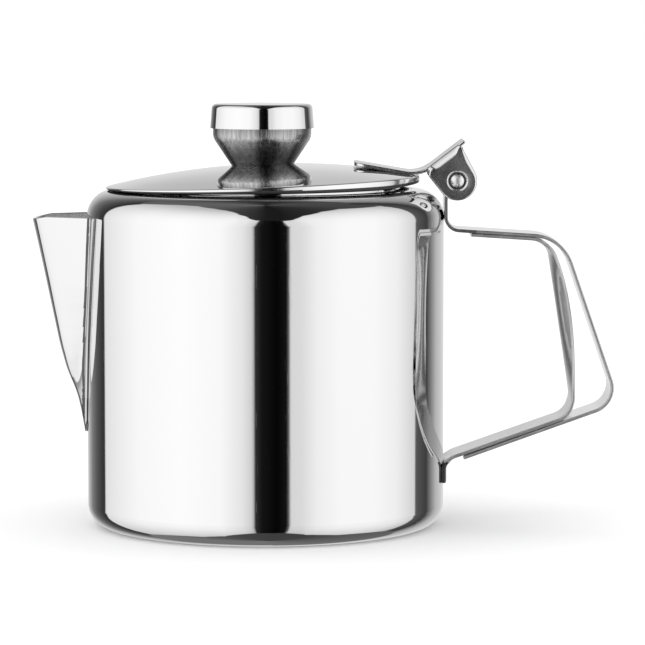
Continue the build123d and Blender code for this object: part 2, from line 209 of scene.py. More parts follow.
def build_world():
    """The studio for mirrored rays, an even light for matt surfaces, and plain white for the camera."""
    world = bpy.data.worlds.new("studio")
    bpy.context.scene.world = world
    world.use_nodes = True
    world.cycles.sampling_method = "NONE"
    g = Graph(world.node_tree)
    coordinates = g.add("ShaderNodeTexCoord").outputs["Generated"]
    parts = g.add("ShaderNodeSeparateXYZ")
    g.feed(parts.inputs[0], coordinates)
    x, y, z = parts.outputs
    azimuth = g.math("ARCTAN2", x, g.math("MULTIPLY", y, -1.0))
    around = g.math("MULTIPLY_ADD", azimuth, 0.5 / pi, 0.5)
    elevation = g.math("ARCSINE", z)
    upward = g.math("MULTIPLY_ADD", elevation, 1 / pi, 0.5)
    aside = g.math("SUBTRACT", azimuth, radians(GAP_MIDDLE))
    rise = g.span(elevation, *map(radians, GAP_RISE), 0.0, GAP_NARROWING)
    near = g.span(g.math("ABSOLUTE", aside), *map(radians, GAP_REACH), 1.0, 0.0)
    aside = g.math("MULTIPLY_ADD", g.math("MULTIPLY", rise, near), aside, azimuth)
    narrowed = g.math("MULTIPLY_ADD", aside, 0.5 / pi, 0.5)
    bright = g.ramp(narrowed, by_azimuth(HORIZON, linear))
    fall = g.ramp(upward, by_elevation(PANEL_FALL))
    back_fall = g.ramp(upward, by_elevation(BACK_FALL))
    facing = g.span(g.math("ABSOLUTE", azimuth), *map(radians, BACK_WALL))
    panel = g.math("MULTIPLY", bright, g.mix(facing, fall, back_fall))
    ceiling = g.ramp(around, by_azimuth(CEILING, linear))
    ground = g.ramp(around, by_azimuth(GROUND, linear))
    soft = PANEL_SOFTNESS / 180
    past = []
    for stops in (PANEL_TOP, PANEL_BOTTOM):
        edge = g.ramp(around, by_azimuth(stops, elevation_share))
        low, high = g.math("SUBTRACT", edge, soft), g.math("ADD", edge, soft)
        past.append(g.span(upward, low, high, mode="SMOOTHSTEP"))
    above, below = past
    seen = g.mix(above, g.mix(below, ground, panel), ceiling)
    seen = g.math("DIVIDE", seen, STEEL_SHINE)
    path = g.add("ShaderNodeLightPath")
    seen = g.mix(path.outputs["Is Diffuse Ray"], seen, DIFFUSE_LIGHT)
    seen = g.mix(path.outputs["Is Camera Ray"], seen, 1.0)
    background = g.add("ShaderNodeBackground")
    g.feed(background.inputs["Color"], seen)
    out = g.add("ShaderNodeOutputWorld")
    g.feed(out.inputs["Surface"], background.outputs[0])


build_world()

# ---------------------------------------------------------------- floor
FLOOR_REACH = 6.0
FLOOR_GREY = 0.93


def build_floor():
    """A wide matt floor that takes the shadow. The steel sees the studio's table in its place."""
    mesh = bpy.data.meshes.new("floor")
    corners = [(x * FLOOR_REACH, y * FLOOR_REACH, 0.0) for x, y in ((-1, -1), (1, -1), (1, 1), (-1, 1))]
    mesh.from_pydata(corners, [], [(0, 1, 2, 3)])
    floor = bpy.data.objects.new("floor", mesh)
    bpy.context.scene.collection.objects.link(floor)
    floor.visible_glossy = False
    paint = bpy.data.materials.new("floor_paint")
    paint.use_nodes = True
    g = Graph(paint.node_tree)
    shader = g.add("ShaderNodeBsdfDiffuse")
    shader.inputs["Color"].default_value = (FLOOR_GREY, FLOOR_GREY, FLOOR_GREY, 1.0)
    out = g.add("ShaderNodeOutputMaterial")
    g.feed(out.inputs["Surface"], shader.outputs[0])
    mesh.materials.append(paint)


build_floor()

# ---------------------------------------------------------------- materials
# Scratches in three directions: how the noise is turned, then how finely it runs along X, Y and Z
SCRATCH_RUNS = (
    ((0.3, 0.9, 0.2), (180.0, 180.0, 5200.0)),
    ((1.2, -0.5, 0.4), (4600.0, 210.0, 210.0)),
    ((0.2, 0.4, 1.1), (160.0, 5000.0, 160.0)),
)
SCRATCH_STOPS = [(0.0, 0.0), (0.73, 0.0), (0.8, 1.0)]
SCRATCH_DEPTH = 0.3
SMUDGE_SCALE = 55.0
RELIEF_REACH = 0.0001


def steel(name, grey, roughness, scratch, grain, smudge, bump, heights=None, streak=0.0, bow=None):
    """Bare stainless steel: faint smudges, fine scratches and a directional grain.

    The grey may follow the height as painted light and shade, from rows of (metres, share) in
    heights, and streak is how far the grain varies it. A bow of (x, rise per square metre, reach)
    bends those painted levels upward either side of x, no further than its reach on the side of the tip.
    """
    material = bpy.data.materials.new(name)
    material.use_nodes = True
    g = Graph(material.node_tree)
    place = g.add("ShaderNodeTexCoord").outputs["Object"]
    cloud = g.noise(place, SMUDGE_SCALE, 3.0, 0.6)
    lines = g.noise(g.stretch(place, grain), 1.0, 3.0, 0.7)
    marks = []
    for turn, scale in SCRATCH_RUNS:
        mark = g.noise(g.stretch(place, scale, turn), 1.0, 0.0)
        marks.append(g.ramp(mark, SCRATCH_STOPS))
    scratches = g.math("MAXIMUM", g.math("MAXIMUM", marks[0], marks[1]), marks[2])
    smudged = g.span(cloud, 0.35, 0.7, roughness, roughness + smudge)
    rough = g.math("ADD", smudged, g.math("MULTIPLY", scratches, scratch))
    shader = g.add("ShaderNodeBsdfPrincipled")
    shader.inputs["Base Color"].default_value = (grey, grey, grey, 1.0)
    # Painted light and shade: the base grey follows the height, then the grain streaks it
    if heights:
        parts = g.add("ShaderNodeSeparateXYZ")
        g.feed(parts.inputs[0], place)
        low, high = heights[0][0], heights[-1][0]
        stops = [((level - low) / (high - low), share * grey) for level, share in heights]
        level = parts.outputs[2]
        if bow:
            middle, bend, reach = bow
            aside = g.math("MAXIMUM", g.math("SUBTRACT", parts.outputs[0], middle), -reach)
            lift = g.math("MULTIPLY", g.math("MULTIPLY", aside, aside), bend)
            level = g.math("SUBTRACT", level, lift)
        grain_and_painted_light = g.ramp(g.span(level, low, high), stops)
        grain_and_painted_light = g.math("MULTIPLY", grain_and_painted_light, g.span(lines, 0.3, 0.7, 1.0 - streak, 1.0 + streak))
        g.feed(shader.inputs["Base Color"], grain_and_painted_light)
    shader.inputs["Metallic"].default_value = 1.0
    g.feed(shader.inputs["Roughness"], rough)
    relief = g.add("ShaderNodeBump")
    g.feed(relief.inputs["Strength"], bump)
    g.feed(relief.inputs["Distance"], RELIEF_REACH)
    g.feed(relief.inputs["Height"], g.math("SUBTRACT", lines, g.math("MULTIPLY", scratches, SCRATCH_DEPTH)))
    g.feed(shader.inputs["Normal"], relief.outputs[0])
    out = g.add("ShaderNodeOutputMaterial")
    g.feed(out.inputs["Surface"], shader.outputs[0])
    return material


# How finely the grain runs along X, Y and Z
TURNED_GRAIN = (30.0, 30.0, 2500.0)
STRIP_GRAIN = (2200.0, 60.0, 2200.0)
BOWL_GRAIN = (1300.0, 1300.0, 70.0)
PLATE_GRAIN = (700.0, 500.0, 350.0)
EDGE_GRAIN = (160.0, 900.0, 1400.0)
EVEN_GRAIN = (900.0, 900.0, 900.0)

# Painted light and shade by height, in metres: the knob's bowl has painted shade low down and under its cap
# with a painted highlight band between, and the spout's bright panel ends in a painted dark toe
BOWL_PAINTED_LIGHT = [
    (0.0900, 0.22), (0.0930, 0.23), (0.0945, 0.34), (0.0955, 0.46), (0.0972, 0.88),
    (0.0982, 1.12), (0.0996, 0.8), (0.1014, 0.55),
]
TOE_PAINTED_SHADE = [
    (0.023, 0.85), (0.028, 0.8), (0.0335, 0.6), (0.0355, 0.36), (0.0362, 0.36),
    (0.0367, 1.0), (0.0368, 1.0),
]
TOE_SHADE_BOW = (-0.0475, 2000.0, 0.0008)

# Name, grey, roughness, what a scratch adds to it, grain, what a smudge adds, strength of the relief
mirror = steel("mirror_steel", STEEL_SHINE, 0.015, 0.025, TURNED_GRAIN, 0.02, 0.02)
strip_look = steel("strip_steel", STEEL_SHINE, 0.06, 0.08, STRIP_GRAIN, 0.04, 0.03)
# The knob's bowl: satin steel with a painted highlight band and painted shade, by height
satin_painted_light = steel("satin_steel", 0.48, 0.19, 0.12, BOWL_GRAIN, 0.1, 0.4, heights=BOWL_PAINTED_LIGHT, streak=0.4)
dull = steel("dull_steel", 0.86, 0.17, 0.03, PLATE_GRAIN, 0.12, 0.05)
plain = steel("plain_steel", 0.95, 0.3, 0.1, EVEN_GRAIN, 0.08, 0.1)
sheared = steel("sheared_edge", 0.66, 0.3, 0.1, EDGE_GRAIN, 0.1, 0.3)
# Painted shade: the strip's edges on the post, close to the pot below the hinge, darker than elsewhere
post_edge_painted_shade = steel("post_edge_painted_shade", 0.3, 0.3, 0.1, EDGE_GRAIN, 0.1, 0.3)
brushed = steel("brushed_steel", 0.84, 0.21, 0.03, STRIP_GRAIN, 0.05, 0.04)
channel = steel("channel_steel", 0.5, 0.35, 0.1, EVEN_GRAIN, 0.1, 0.1)
# The spout's mirror steel, with painted shade below its bright panel as a dark toe
spout_with_painted_toe = steel(
    "spout_steel_with_painted_toe", STEEL_SHINE, 0.02, 0.02, TURNED_GRAIN, 0.02, 0.02, heights=TOE_PAINTED_SHADE, bow=TOE_SHADE_BOW
)
# Painted shade: near black in the hollow corner beside the spout's flange, on a rougher finish
crease_painted_shade = steel("crease_painted_shade_steel", 0.12, 0.3, 0.05, EVEN_GRAIN, 0.1, 0.1)
rim_look = steel("rim_steel", 0.9, 0.13, 0.05, EVEN_GRAIN, 0.02, 0.02)
shaded = steel("shaded_steel", 0.09, 0.45, 0.05, EVEN_GRAIN, 0.1, 0.1)


# ---------------------------------------------------------------- mesh helpers, in millimetres
WELD_REACH = 1e-7
POT_RADIUS = 45.0
ROUND_STEPS = (0, 18, 36, 54, 72, 90)
END_STEPS = (78, 60, 40, 20, 0)
STRIP_COLUMNS = 14
LEAST_CURL = 0.002


def clamp(value):
    return float(np.clip(value, 0, 1))


def at(height, rows):
    """The value at a height, from rows of (height, value)."""
    return float(np.interp(height, *zip(*rows)))


def rounded_path(points, radii, turn, reach):
    """A 2-D polyline with its inner corners rounded and its straights cut into short steps.

    An arc has a point every turn degrees, and no straight step is longer than reach.
    """
    points = [np.array(point, float) for point in points]
    knots = [points[0]]
    for before, corner, after, radius in zip(points, points[1:], points[2:], radii):
        into = (corner - before) / np.linalg.norm(corner - before)
        out = (after - corner) / np.linalg.norm(after - corner)
        bend = np.arctan2(into[0] * out[1] - into[1] * out[0], into @ out)
        start = corner - into * radius * abs(np.tan(bend / 2))
        side = np.array([-into[1], into[0]]) * np.sign(bend)
        centre = start + side * radius
        for share in np.linspace(0, 1, max(2, int(degrees(abs(bend)) / turn) + 1)):
            angle = bend * share
            swing = np.array([[cos(angle), -sin(angle)], [sin(angle), cos(angle)]])
            knots.append(centre + swing @ (start - centre))
    knots.append(points[-1])
    path = [knots[0]]
    for low, high in zip(knots, knots[1:]):
        count = max(1, int(np.ceil(np.linalg.norm(high - low) / reach)))
        path += [low + (high - low) * step / count for step in range(1, count + 1)]
    return np.array(path)


def directions(path):
    """Unit tangents of a polyline and the distance run at each point."""
    steps = np.diff(path, axis=0)
    lengths = np.linalg.norm(steps, axis=1)
    unit = steps / lengths[:, None]
    tangents = np.vstack([unit[:1], unit[:-1] + unit[1:], unit[-1:]])
    tangents /= np.linalg.norm(tangents, axis=1)[:, None]
    return tangents, np.concatenate([[0.0], np.cumsum(lengths)])


def tube(rings, caps=True):
    """Points and faces of a closed tube through rings of equal count."""
    count = len(rings[0])
    points = [tuple(point) for ring in rings for point in ring]
    faces = []
    for row in range(len(rings) - 1):
        for step in range(count):
            after = (step + 1) % count
            low, high = row * count, (row + 1) * count
            faces.append((low + step, low + after, high + after, high + step))
    if caps:
        faces.append(tuple(reversed(range(count))))
        faces.append(tuple(range((len(rings) - 1) * count, len(rings) * count)))
    return points, faces


def join(*shells):
    """One shell from several, which keep their own points."""
    points, faces = [], []
    for more_points, more_faces in shells:
        base = len(points)
        points += more_points
        faces += [tuple(base + corner for corner in face) for face in more_faces]
    return points, faces


def build(name, shell, node, material, others=()):
    """Make one closed piece that stands for a CAD node and rides with it.

    Each of the others is a material with a test of a face's (middle, normal), in metres, that says
    which faces take it in place of the main one.
    """
    points, faces = shell
    mesh = bpy.data.meshes.new(name)
    mesh.from_pydata([tuple(value * MM for value in point) for point in points], [], faces)
    work = bmesh.new()
    work.from_mesh(mesh)
    bmesh.ops.remove_doubles(work, verts=work.verts, dist=WELD_REACH)
    bmesh.ops.recalc_face_normals(work, faces=work.faces)
    # A point's normal leans towards its larger faces, which keeps the flats flat beside a rounding
    leaning = {}
    for face in work.faces:
        face.smooth = True
        for index, (_, takes) in enumerate(others):
            if takes(face.calc_center_median(), face.normal):
                face.material_index = index + 1
        weight = face.normal * face.calc_area()
        for corner in face.verts:
            leaning[corner.index] = leaning.get(corner.index, Vector((0, 0, 0))) + weight
    work.to_mesh(mesh)
    work.free()
    normals = [leaning[vertex.index].normalized() for vertex in mesh.vertices]
    mesh.normals_split_custom_set_from_vertices(normals)
    mesh.materials.append(material)
    for other, _ in others:
        mesh.materials.append(other)
    piece = bpy.data.objects.new(name, mesh)
    bpy.context.scene.collection.objects.link(piece)
    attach(piece, BODY_OF[node])
    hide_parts(node)
    return piece


BODY_OF = {
    "spout": "pot", "handle_outer_strip": "pot", "handle_inner_strip": "pot",
    "lid_cover": "lid", "hinge_plate": "lid", "hinge_pin": "lid",
}


def strip_section(half, thickness, edge, inset):
    """Loop of (across, through) points round a strip's section, its corners rounded."""
    corners = ((1, 0, -90), (1, 1, 0), (-1, 1, 90), (-1, 0, 180))
    loop = []
    for side, far, first in corners:
        centre = (side * (half - edge), thickness - edge if far else edge)
        for angle in ROUND_STEPS:
            turn = radians(first + angle)
            loop.append((centre[0] + (edge - inset) * cos(turn), centre[1] + (edge - inset) * sin(turn)))
        if first in (0, 180):
            reach = half - edge
            level = thickness - inset if far else inset
            sign = 1 if first == 0 else -1
            for column in range(1, STRIP_COLUMNS):
                loop.append((sign * (reach - 2 * reach * column / STRIP_COLUMNS), level))
    return loop


def strip(path, side, thickness, edge, half_at, curl_at=None, trim=None):
    """Sweep a strip along an X-Z path. The path is one face, and the thickness lies to its side.

    edge is the radius of its rounded edges, half_at its half width at a distance along it, curl_at
    how far it is dished there, in radians from the middle to an edge, and trim moves a finished point.
    """
    tangents, run = directions(path)
    stations = []
    for index in range(len(path)):
        if edge < run[index] < run[-1] - edge or index in (0, len(path) - 1):
            stations.append((path[index], tangents[index], run[index], 0.0))
    first, last = stations[0], stations[-1]
    soft = []
    for angle in END_STEPS:
        soft.append((edge * (1 - sin(radians(angle))), edge * (1 - cos(radians(angle)))))
    start = [(first[0] + first[1] * back, first[1], first[2] + back, inset) for back, inset in soft]
    finish = [(last[0] - last[1] * back, last[1], last[2] - back, inset) for back, inset in reversed(soft)]
    rings = []
    for place, tangent, distance, inset in start + stations[1:-1] + finish:
        normal = np.array([tangent[1], -tangent[0]]) * side
        curl = curl_at(distance) if curl_at else 0.0
        half = half_at(distance)
        ring = []
        for across, through in strip_section(half, thickness, edge, inset):
            if curl > LEAST_CURL:
                radius = half / curl
                angle = across / radius
                across = (radius - through) * sin(angle)
                through = radius - (radius - through) * cos(angle)
            x, z = place + normal * through
            ring.append((x, across, z))
        if trim:
            ring = [trim(point) for point in ring]
        rings.append(ring)
    return tube(rings)


# ---------------------------------------------------------------- handle strips
STRIP_HALF = 7.5
STRIP_THICKNESS = 0.85
STRIP_EDGE = 0.28
PIN_PLACE = (48.1, 87.45)
KNUCKLE_INNER = 1.56
FOOT_TOP = 22.0
FOOT_REACH = 46.5


def meet_wall(point):
    """Pull the foot of a strip onto the pot's round wall, and keep the rest outside it."""
    x, across, z = point
    wall = sqrt(POT_RADIUS ** 2 - across ** 2)
    if z < FOOT_TOP:
        x = x + (wall - POT_RADIUS) * clamp(FOOT_REACH - x)
    return (max(x, wall), across, z)


knuckle = [
    (PIN_PLACE[0] + KNUCKLE_INNER * cos(angle), PIN_PLACE[1] + KNUCKLE_INNER * sin(angle))
    for angle in np.radians(np.arange(-128, 180, 8))
]
outer_line = [(46.54, 87.45), (45.75, 83.4), (45.8, 75.5), (74.8, 73.65), (89.4, 31.3), (50.0, 17.15)]
outer_path = rounded_path(outer_line, [8.0, 3.0, 11.0, 6.5], turn=4.0, reach=1.5)
outer_path = np.vstack([knuckle, outer_path[1:]])
outer_strip = strip(outer_path, 1, STRIP_THICKNESS, STRIP_EDGE, lambda run: STRIP_HALF, trim=meet_wall)

GRIP_CURL = 0.76
GRIP_TOP, GRIP_BOTTOM = (70.6, 71.5), (76.9, 31.0)
inner_line = [(51.5, 73.43), (70.8, 72.2), (77.45, 28.88), (45.0, 17.43), (45.0, 11.2)]
inner_path = rounded_path(inner_line, [5.0, 5.0, 4.0], turn=4.0, reach=0.9)
inner_run = directions(inner_path)[1]
grip_start, grip_end = (
    inner_run[int(np.argmin(np.hypot(inner_path[:, 0] - x, inner_path[:, 1] - z)))]
    for x, z in (GRIP_TOP, GRIP_BOTTOM)
)


def grip_curl(distance):
    """The dish of the grip, deepest a little above its middle."""
    share = (distance - grip_start) / (grip_end - grip_start)
    return GRIP_CURL * sin(pi * clamp(share) ** 0.8) ** 1.1


inner_strip = strip(
    inner_path, -1, STRIP_THICKNESS, STRIP_EDGE, lambda run: STRIP_HALF, grip_curl, meet_wall
)

# ---------------------------------------------------------------- spout
# Rows of (height, value): the ridge's X, the flange's half width, the nose's length and lean, the
# panel's lean, and the hollow corner's radius in plan. Leans are in degrees.
RIDGE_LINE = [
    (23.0, -45.7), (28.0, -46.5), (33.0, -47.6), (36.4, -48.9), (39.2, -50.2), (46.0, -52.05), (81.0, -59.28),
]
FLANGE_HALF = [
    (23.5, 0.3), (26.0, 3.4), (33.0, 6.2), (46.7, 9.6), (57.0, 12.1), (78.1, 16.9), (79.0, 17.0),
]
NOSE_LENGTHS = [(23.0, 2.2), (33.0, 3.4), (38.0, 3.8), (46.0, 4.6), (80.0, 6.8)]
NOSE_LEANS = [(23.0, 66.0), (80.0, 65.0)]
PANEL_LEAN = [(23.0, 40.0), (36.0, 40.0), (40.0, 31.0), (80.0, 29.0)]
HOLLOW_RADII = [(23.0, 3.0), (37.0, 3.0), (60.0, 1.8), (78.0, 1.2)]
# The ridge is averaged over these shifts in height. It rises from the flange by at least so much,
# and the rest of the plan is at its full size once it rises by so much.
RIDGE_SMOOTHING = (-1.5, -0.75, 0, 0.75, 1.5)
LEAST_RISE = 0.06
FULL_RISE = 2.4
LEAST_SCALE = 0.03
# Below this height the nose widens, by so much for each millimetre down
TOE_TOP = 38.0
TOE_SPREAD = 1.2
# A panel that would miss the flange gives up lean, then nose, then the nose's lean, down to these
LEAST_PANEL_LEAN = 14
LEAST_NOSE = 0.3
LEAST_NOSE_LEAN = 12
CREASE_RISE = 0.6
FLANGE_RADIUS = 45.8
FLANGE_MARGIN = 0.6
FLANGE_EDGE_WIDTH = 0.55
FLANGE_EDGE_DEPTH = 0.6
SHEET_REACH = 30
SHEET_POINTS = 1001
SPOUT_WALL = 0.9
# The lip: its height at the pot and at the tip, the X of both, where the rings start to sink towards
# it, and the rounding of its edge
LIP_HEIGHT = 78.5
LIP_LOW = 77.2
LIP_LOW_X, LIP_HIGH_X = -62.0, -54.6
LIP_SINK_START = 66.0
LIP_ROUND = 0.4


def spout_half(height, inset):
    """Matching outer and inner plan points, from the ridge to the edge of the flange.

    The lean is the angle between the sheet's normal and -Y: 90 degrees on the blunt nose, then it
    eases to the flat panel's, and a hollow fillet brings it back to the flange on the pot's wall.
    """
    ridge = float(np.mean([at(height + shift, RIDGE_LINE) for shift in RIDGE_SMOOTHING]))
    ridge = min(ridge, -FLANGE_RADIUS - LEAST_RISE)
    # Near the tip everything shrinks with the ridge's rise above the flange
    scale = float(np.clip((-FLANGE_RADIUS - ridge) / FULL_RISE, LEAST_SCALE, 1.0))
    hollow = at(height, HOLLOW_RADII) * scale
    flat_lean = at(height, PANEL_LEAN)
    nose = at(height, NOSE_LENGTHS) * scale
    nose_lean = at(height, NOSE_LEANS)
    flange_half = at(height, FLANGE_HALF)
    run = np.linspace(0, SHEET_REACH, SHEET_POINTS)
    step = run[1] - run[0]
    nose += max(0.0, TOE_TOP - height) * TOE_SPREAD
    # The panel turns inward until it lands within the flange
    while True:
        ease = flat_lean + (nose_lean - flat_lean) * np.exp(-(run - nose) / scale)
        lean = np.radians(np.where(run < nose, 90 - (90 - nose_lean) * run / nose, ease))
        middle = (lean[1:] + lean[:-1]) / 2
        x = ridge + np.concatenate([[0], np.cumsum(np.cos(middle) * step)])
        y = np.concatenate([[0], np.cumsum(np.sin(middle) * step)])
        out = np.stack([-np.sin(lean), np.cos(lean)], axis=1)
        line = np.stack([x, y], axis=1)
        stop = int(np.argmax(np.linalg.norm(line + out * hollow, axis=1) <= FLANGE_RADIUS + hollow))
        pivot = line[stop] + out[stop] * hollow
        touch = atan2(pivot[1], -pivot[0])
        landed = stop and FLANGE_RADIUS * sin(touch) < flange_half - FLANGE_MARGIN
        if landed or nose_lean < LEAST_NOSE_LEAN:
            break
        if flat_lean > LEAST_PANEL_LEAN:
            flat_lean -= 0.5
        elif nose > LEAST_NOSE:
            nose -= 0.05
        else:
            nose_lean -= 2
    brim = int(np.argmax(np.linalg.norm(line, axis=1) <= FLANGE_RADIUS + CREASE_RISE))
    brim = min(brim, stop) if brim else stop
    indices = [round(brim * share ** 1.5) for share in np.linspace(0, 1, 20)]
    indices += [(brim + stop) // 2, stop]
    samples = [(line[index], out[index]) for index in indices]
    begin = atan2(-out[stop][1], -out[stop][0])
    end = atan2(-pivot[1], -pivot[0])
    for share in np.linspace(0, 1, 9)[1:]:
        angle = begin + (end - begin) * share
        ray = np.array([cos(angle), sin(angle)])
        samples.append((pivot + ray * hollow, -ray))
    half = max(flange_half, FLANGE_RADIUS * sin(touch) + FLANGE_MARGIN)
    rim = np.arcsin(half / FLANGE_RADIUS) - FLANGE_EDGE_WIDTH / FLANGE_RADIUS
    for share in np.linspace(0, 1, 6)[1:]:
        angle = touch + (rim - touch) * share
        ray = np.array([-cos(angle), sin(angle)])
        samples.append((ray * FLANGE_RADIUS, ray))
    outer, inner = [], []
    for place, normal in samples:
        outer.append(place - normal * inset)
        under = place - normal * (SPOUT_WALL - inset)
        span = np.linalg.norm(under)
        inner.append(under if span > POT_RADIUS + inset else under * (POT_RADIUS + inset) / span)
    inner[0] = np.array([inner[0][0], 0.0])
    for angle in ROUND_STEPS[1:]:
        turn = rim + FLANGE_EDGE_WIDTH * sin(radians(angle)) / FLANGE_RADIUS
        ray = np.array([-cos(turn), sin(turn)])
        outer.append(ray * (FLANGE_RADIUS - FLANGE_EDGE_DEPTH * (1 - cos(radians(angle))) - inset * 0.3))
        inner.append(ray * (POT_RADIUS + inset))
    return outer, inner


def lip_at(x):
    """Height of the lip, which dips towards the spout's tip."""
    return LIP_LOW + (LIP_HEIGHT - LIP_LOW) * clamp((x - LIP_LOW_X) / (LIP_HIGH_X - LIP_LOW_X))


def spout_shell():
    """The folded sheet from its toe to its lip, as one ring of plan points at each height."""
    heights = [(level, 0.0) for level in (23.6, 23.9, 24.3, 24.8, 25.4, 26, 26.8, 27.6)]
    heights += [(level, 0.0) for level in np.arange(28.4, 77.4, 0.8)]
    heights += [(77.6, 0.0), (77.9, 0.0)]
    for angle in (0, 18, 36, 54, 70):
        turn = radians(angle)
        heights.append((LIP_HEIGHT - LIP_ROUND + LIP_ROUND * sin(turn), LIP_ROUND * (1 - cos(turn))))
    rings = []
    for level, inset in heights:
        outer, inner = spout_half(level, inset)
        loop = [(x, -y) for x, y in reversed(outer[1:])] + [(x, y) for x, y in outer]
        loop += [(x, y) for x, y in reversed(inner)] + [(x, -y) for x, y in inner[1:]]
        sink = clamp((level - LIP_SINK_START) / (LIP_HEIGHT - LIP_SINK_START))
        rings.append([(x, y, level - (LIP_HEIGHT - lip_at(x)) * sink) for x, y in loop])
    points, faces = tube(rings, caps=False)
    # Each end is closed by four-sided faces between the outer and the inner plan points
    count = len(rings[0])
    half = count // 2
    for row in (0, len(rings) - 1):
        base = row * count
        for step in range(half - 1):
            faces.append((base + step, base + step + 1, base + count - 2 - step, base + count - 1 - step))
    return points, faces


# ---------------------------------------------------------------- lid cover
LID_PLACE = (-0.6, 0.0, 85.4)
LID_TILT = radians(0.65)
LID_RADIUS = 39.5
LID_WALL = 0.8
CROWN_RADIUS = 190.0
CROWN_OFFSET = 5.0
CROWN_DROP = 184.02
LID_STEPS = 192
# Where the rim's shoulder ends, as a share of the full height, and how much of the rest is the
# rounding that turns under
RIM_BAND = 0.86
RIM_ROUND = 0.64
RIM_ROUND_DEPTH = 0.6
RIM_FOOT = 0.18
# The rim is cut higher beside the hinge, from this cosine of the angle to it
FOOT_RISE = 0.6
FOOT_RISE_STARTS = 0.75


def crown(x, y, radius):
    """Height of a lid face over the lid's own place."""
    return sqrt(radius ** 2 - (x - CROWN_OFFSET) ** 2 - y ** 2) - CROWN_DROP


def lid_shell():
    """The lid's whole skin, outside and inside, as one profile for each direction round its axis."""
    rings = []
    for angle in np.linspace(0, 2 * pi, LID_STEPS, endpoint=False):
        ray = np.array([cos(angle), sin(angle)])

        def top(reach):
            return crown(reach * ray[0], reach * ray[1], CROWN_RADIUS)

        full = top(LID_RADIUS)
        near_hinge = clamp((ray[0] - FOOT_RISE_STARTS) / (1 - FOOT_RISE_STARTS))
        foot = RIM_FOOT + FOOT_RISE * near_hinge ** 2 * (3 - 2 * near_hinge)
        band = RIM_BAND * full
        width = 1.3 * (full - band) + 0.15
        reaches = list(np.linspace(0.4, 34, 16)) + [LID_RADIUS - width - 0.6]
        profile = [(reach, top(reach)) for reach in reaches]
        # The shoulder is a parabola from the crown to the upright band
        inner_point, outer_point = (LID_RADIUS - width, top(LID_RADIUS - width)), (LID_RADIUS, band)
        for share in np.linspace(0, 1, 9):
            blend = ((1 - share) ** 2, 2 * share * (1 - share), share ** 2)
            profile.append((
                blend[0] * inner_point[0] + (blend[1] + blend[2]) * LID_RADIUS,
                blend[0] * inner_point[1] + blend[1] * full + blend[2] * outer_point[1],
            ))
        tall = RIM_ROUND * (band - foot)
        deep = min(RIM_ROUND_DEPTH, tall)
        profile.append((LID_RADIUS, (band + foot + tall) / 2))
        for turn in (0, 12, 25, 45, 67, 90):
            rim = radians(turn)
            profile.append((LID_RADIUS - deep + deep * cos(rim), foot + tall - tall * sin(rim)))
        inside = LID_RADIUS - LID_WALL
        profile.append((inside + 0.1, foot))
        profile.append((inside, foot + 0.1))
        for reach in [inside] + list(np.linspace(34, 0.4, 12)):
            profile.append((reach, crown(reach * ray[0], reach * ray[1], CROWN_RADIUS - LID_WALL)))
        ring = []
        for reach, rise in profile:
            x, y = reach * ray
            ring.append((
                LID_PLACE[0] + x * cos(LID_TILT) - rise * sin(LID_TILT),
                y,
                LID_PLACE[2] + x * sin(LID_TILT) + rise * cos(LID_TILT),
            ))
        rings.append(ring)
    # Turned so that the rings run round the axis, from the crown's middle to its underside
    return tube([[ring[step] for ring in rings] for step in range(len(rings[0]))])


# ---------------------------------------------------------------- hinge plate, ears and pin
PLATE_THICKNESS = 0.9
PLATE_EDGE = 0.3
EAR_OUTER = 8.75
EAR_INNER = 7.85
FOLD_RADIUS = 1.5
FOLD_WIDTH = 1.9
THUMB_BEND = (38.7, 89.25)
THUMB_TIP = (49.75, 97.65)
TONGUE_END = (22.4, 92.1)
TONGUE_CORNER = 2.4
EAR_ROUND = 4.95
EAR_FRONT, EAR_REAR = (40.9, 88.6), (49.4, 95.6)
EAR_TOP_START = 3.1
FOLD_START = 41.3
FOLD_END = 12.9
FOLD_FADE = 1.5
PIN_STEPS = 48
# The pin's peened dome: rows of (radius, distance from the middle)
PIN_DOME = [
    (0.12, 9.3), (0.5, 9.28), (0.9, 9.21), (1.25, 9.09), (1.5, 8.94), (1.68, 8.74), (1.74, 8.55),
    (1.7, 8.38), (1.5, 8.3),
]
TOOL_MARKS = (84, -82)
TOOL_MARK_DEPTH = 0.2

plate_path = rounded_path([TONGUE_END, THUMB_BEND, THUMB_TIP], [8.0], turn=4.0, reach=0.6)
plate_run = directions(plate_path)[1]
fold_begins = float(plate_run[int(np.argmin(abs(plate_path[:, 0] - FOLD_START)))])


def plate_half(distance):
    """Half the plate's width: a round end, then narrower between the folds of the ears."""
    if distance < TONGUE_CORNER:
        return EAR_OUTER - TONGUE_CORNER + sqrt(TONGUE_CORNER ** 2 - (TONGUE_CORNER - distance) ** 2)
    return EAR_OUTER if distance < fold_begins else EAR_OUTER - FOLD_RADIUS + 0.35


